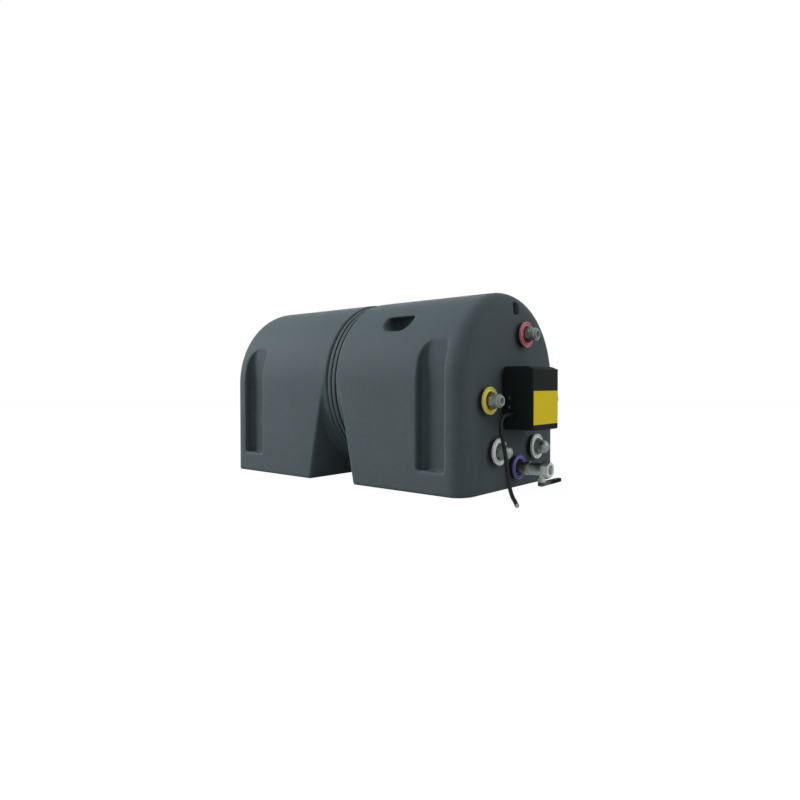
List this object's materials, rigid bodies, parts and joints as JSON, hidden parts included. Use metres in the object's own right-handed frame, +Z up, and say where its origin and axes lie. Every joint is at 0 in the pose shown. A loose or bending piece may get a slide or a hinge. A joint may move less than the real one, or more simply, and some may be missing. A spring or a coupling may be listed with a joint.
{
  "type": "caravan water heater",
  "caption": "Arched floor-standing water heater: steel tank in moulded foam half shells, ports, terminal box and a lever valve on one end.",
  "frame": {"origin": "on the floor, midway between the end faces and the sides, at the centre of the four fixing holes", "axes": "+X along the tank towards the ports, +Z up, -Y the near side in the picture"},
  "size_m": [0.7313, 0.3512, 0.364],
  "materials": {
    "foam": "moulded bead foam",
    "band_rubber": "matt",
    "stainless": "satin",
    "copper": "drawn tube",
    "nickel": "dull plated",
    "brass": "turned",
    "yellow_plastic": "moulded",
    "white_plastic": "moulded",
    "red_plastic": "moulded",
    "blue_plastic": "moulded",
    "black_plastic": "fine grain",
    "black_rubber": "matt",
    "cream_plastic": "moulded"
  },
  "bodies": {
    "heater": {"front_shell": "foam", "rear_shell": "foam", "joint_band": "band_rubber", "tank_barrel": "stainless", "tank_front_end": "stainless", "tank_rear_end": "stainless", "exchanger_coil": "copper", "engine_pipe_near": "copper", "engine_pipe_far": "copper", "engine_fitting_near": "nickel", "engine_fitting_far": "nickel", "hot_outlet_pipe": "stainless", "hot_fitting": "nickel", "cold_inlet_pipe": "brass", "spare_nipple_near": "stainless", "spare_nipple_far": "stainless", "spare_cap_near": "nickel", "spare_cap_far": "nickel", "engine_ring_near": "yellow_plastic", "engine_ring_far": "yellow_plastic", "spare_ring_near": "white_plastic", "spare_ring_far": "white_plastic", "hot_ring": "red_plastic", "cold_ring": "blue_plastic", "ring_washers": "black_rubber", "heater_boss": "stainless", "heater_gasket": "black_rubber", "heater_plug": "brass", "heating_element": "nickel", "heater_lock_nut": "brass", "sensor_pocket": "stainless", "thermostat_body": "cream_plastic", "terminal_block": "cream_plastic", "box_base": "black_plastic", "cover_gasket": "black_rubber", "box_cover": "black_plastic", "cover_screws": "stainless", "front_plate": "yellow_plastic", "strain_relief": "black_rubber", "power_cable": "black_rubber", "cable_cores": "cream_plastic", "valve_body": "nickel", "ball_seats": "white_plastic", "gland_nut": "nickel"},
    "lever": {"valve_lever": "black_plastic", "valve_stem": "nickel", "valve_ball": "stainless", "lever_screw": "stainless"},
    "dial": {"thermostat_dial": "black_plastic"},
    "button": {"reset_button": "red_plastic"}
  },
  "joints": [
    {"name": "lever_turn", "type": "hinge", "parent": "heater", "child": "lever", "pos_m": [0.366, 0, 0.012], "axis": [0, 0, -1], "range_deg": [0, 90]},
    {"name": "dial_turn", "type": "hinge", "parent": "heater", "child": "dial", "pos_m": [0.35, 0, 0.19692], "axis": [1, 0, 0], "range_deg": [-135, 135]},
    {"name": "reset_press", "type": "slide", "parent": "heater", "child": "button", "axis": [-1, 0, 0], "range_m": [0, 0.0025], "stiffness_N_per_m": 400}
  ]
}
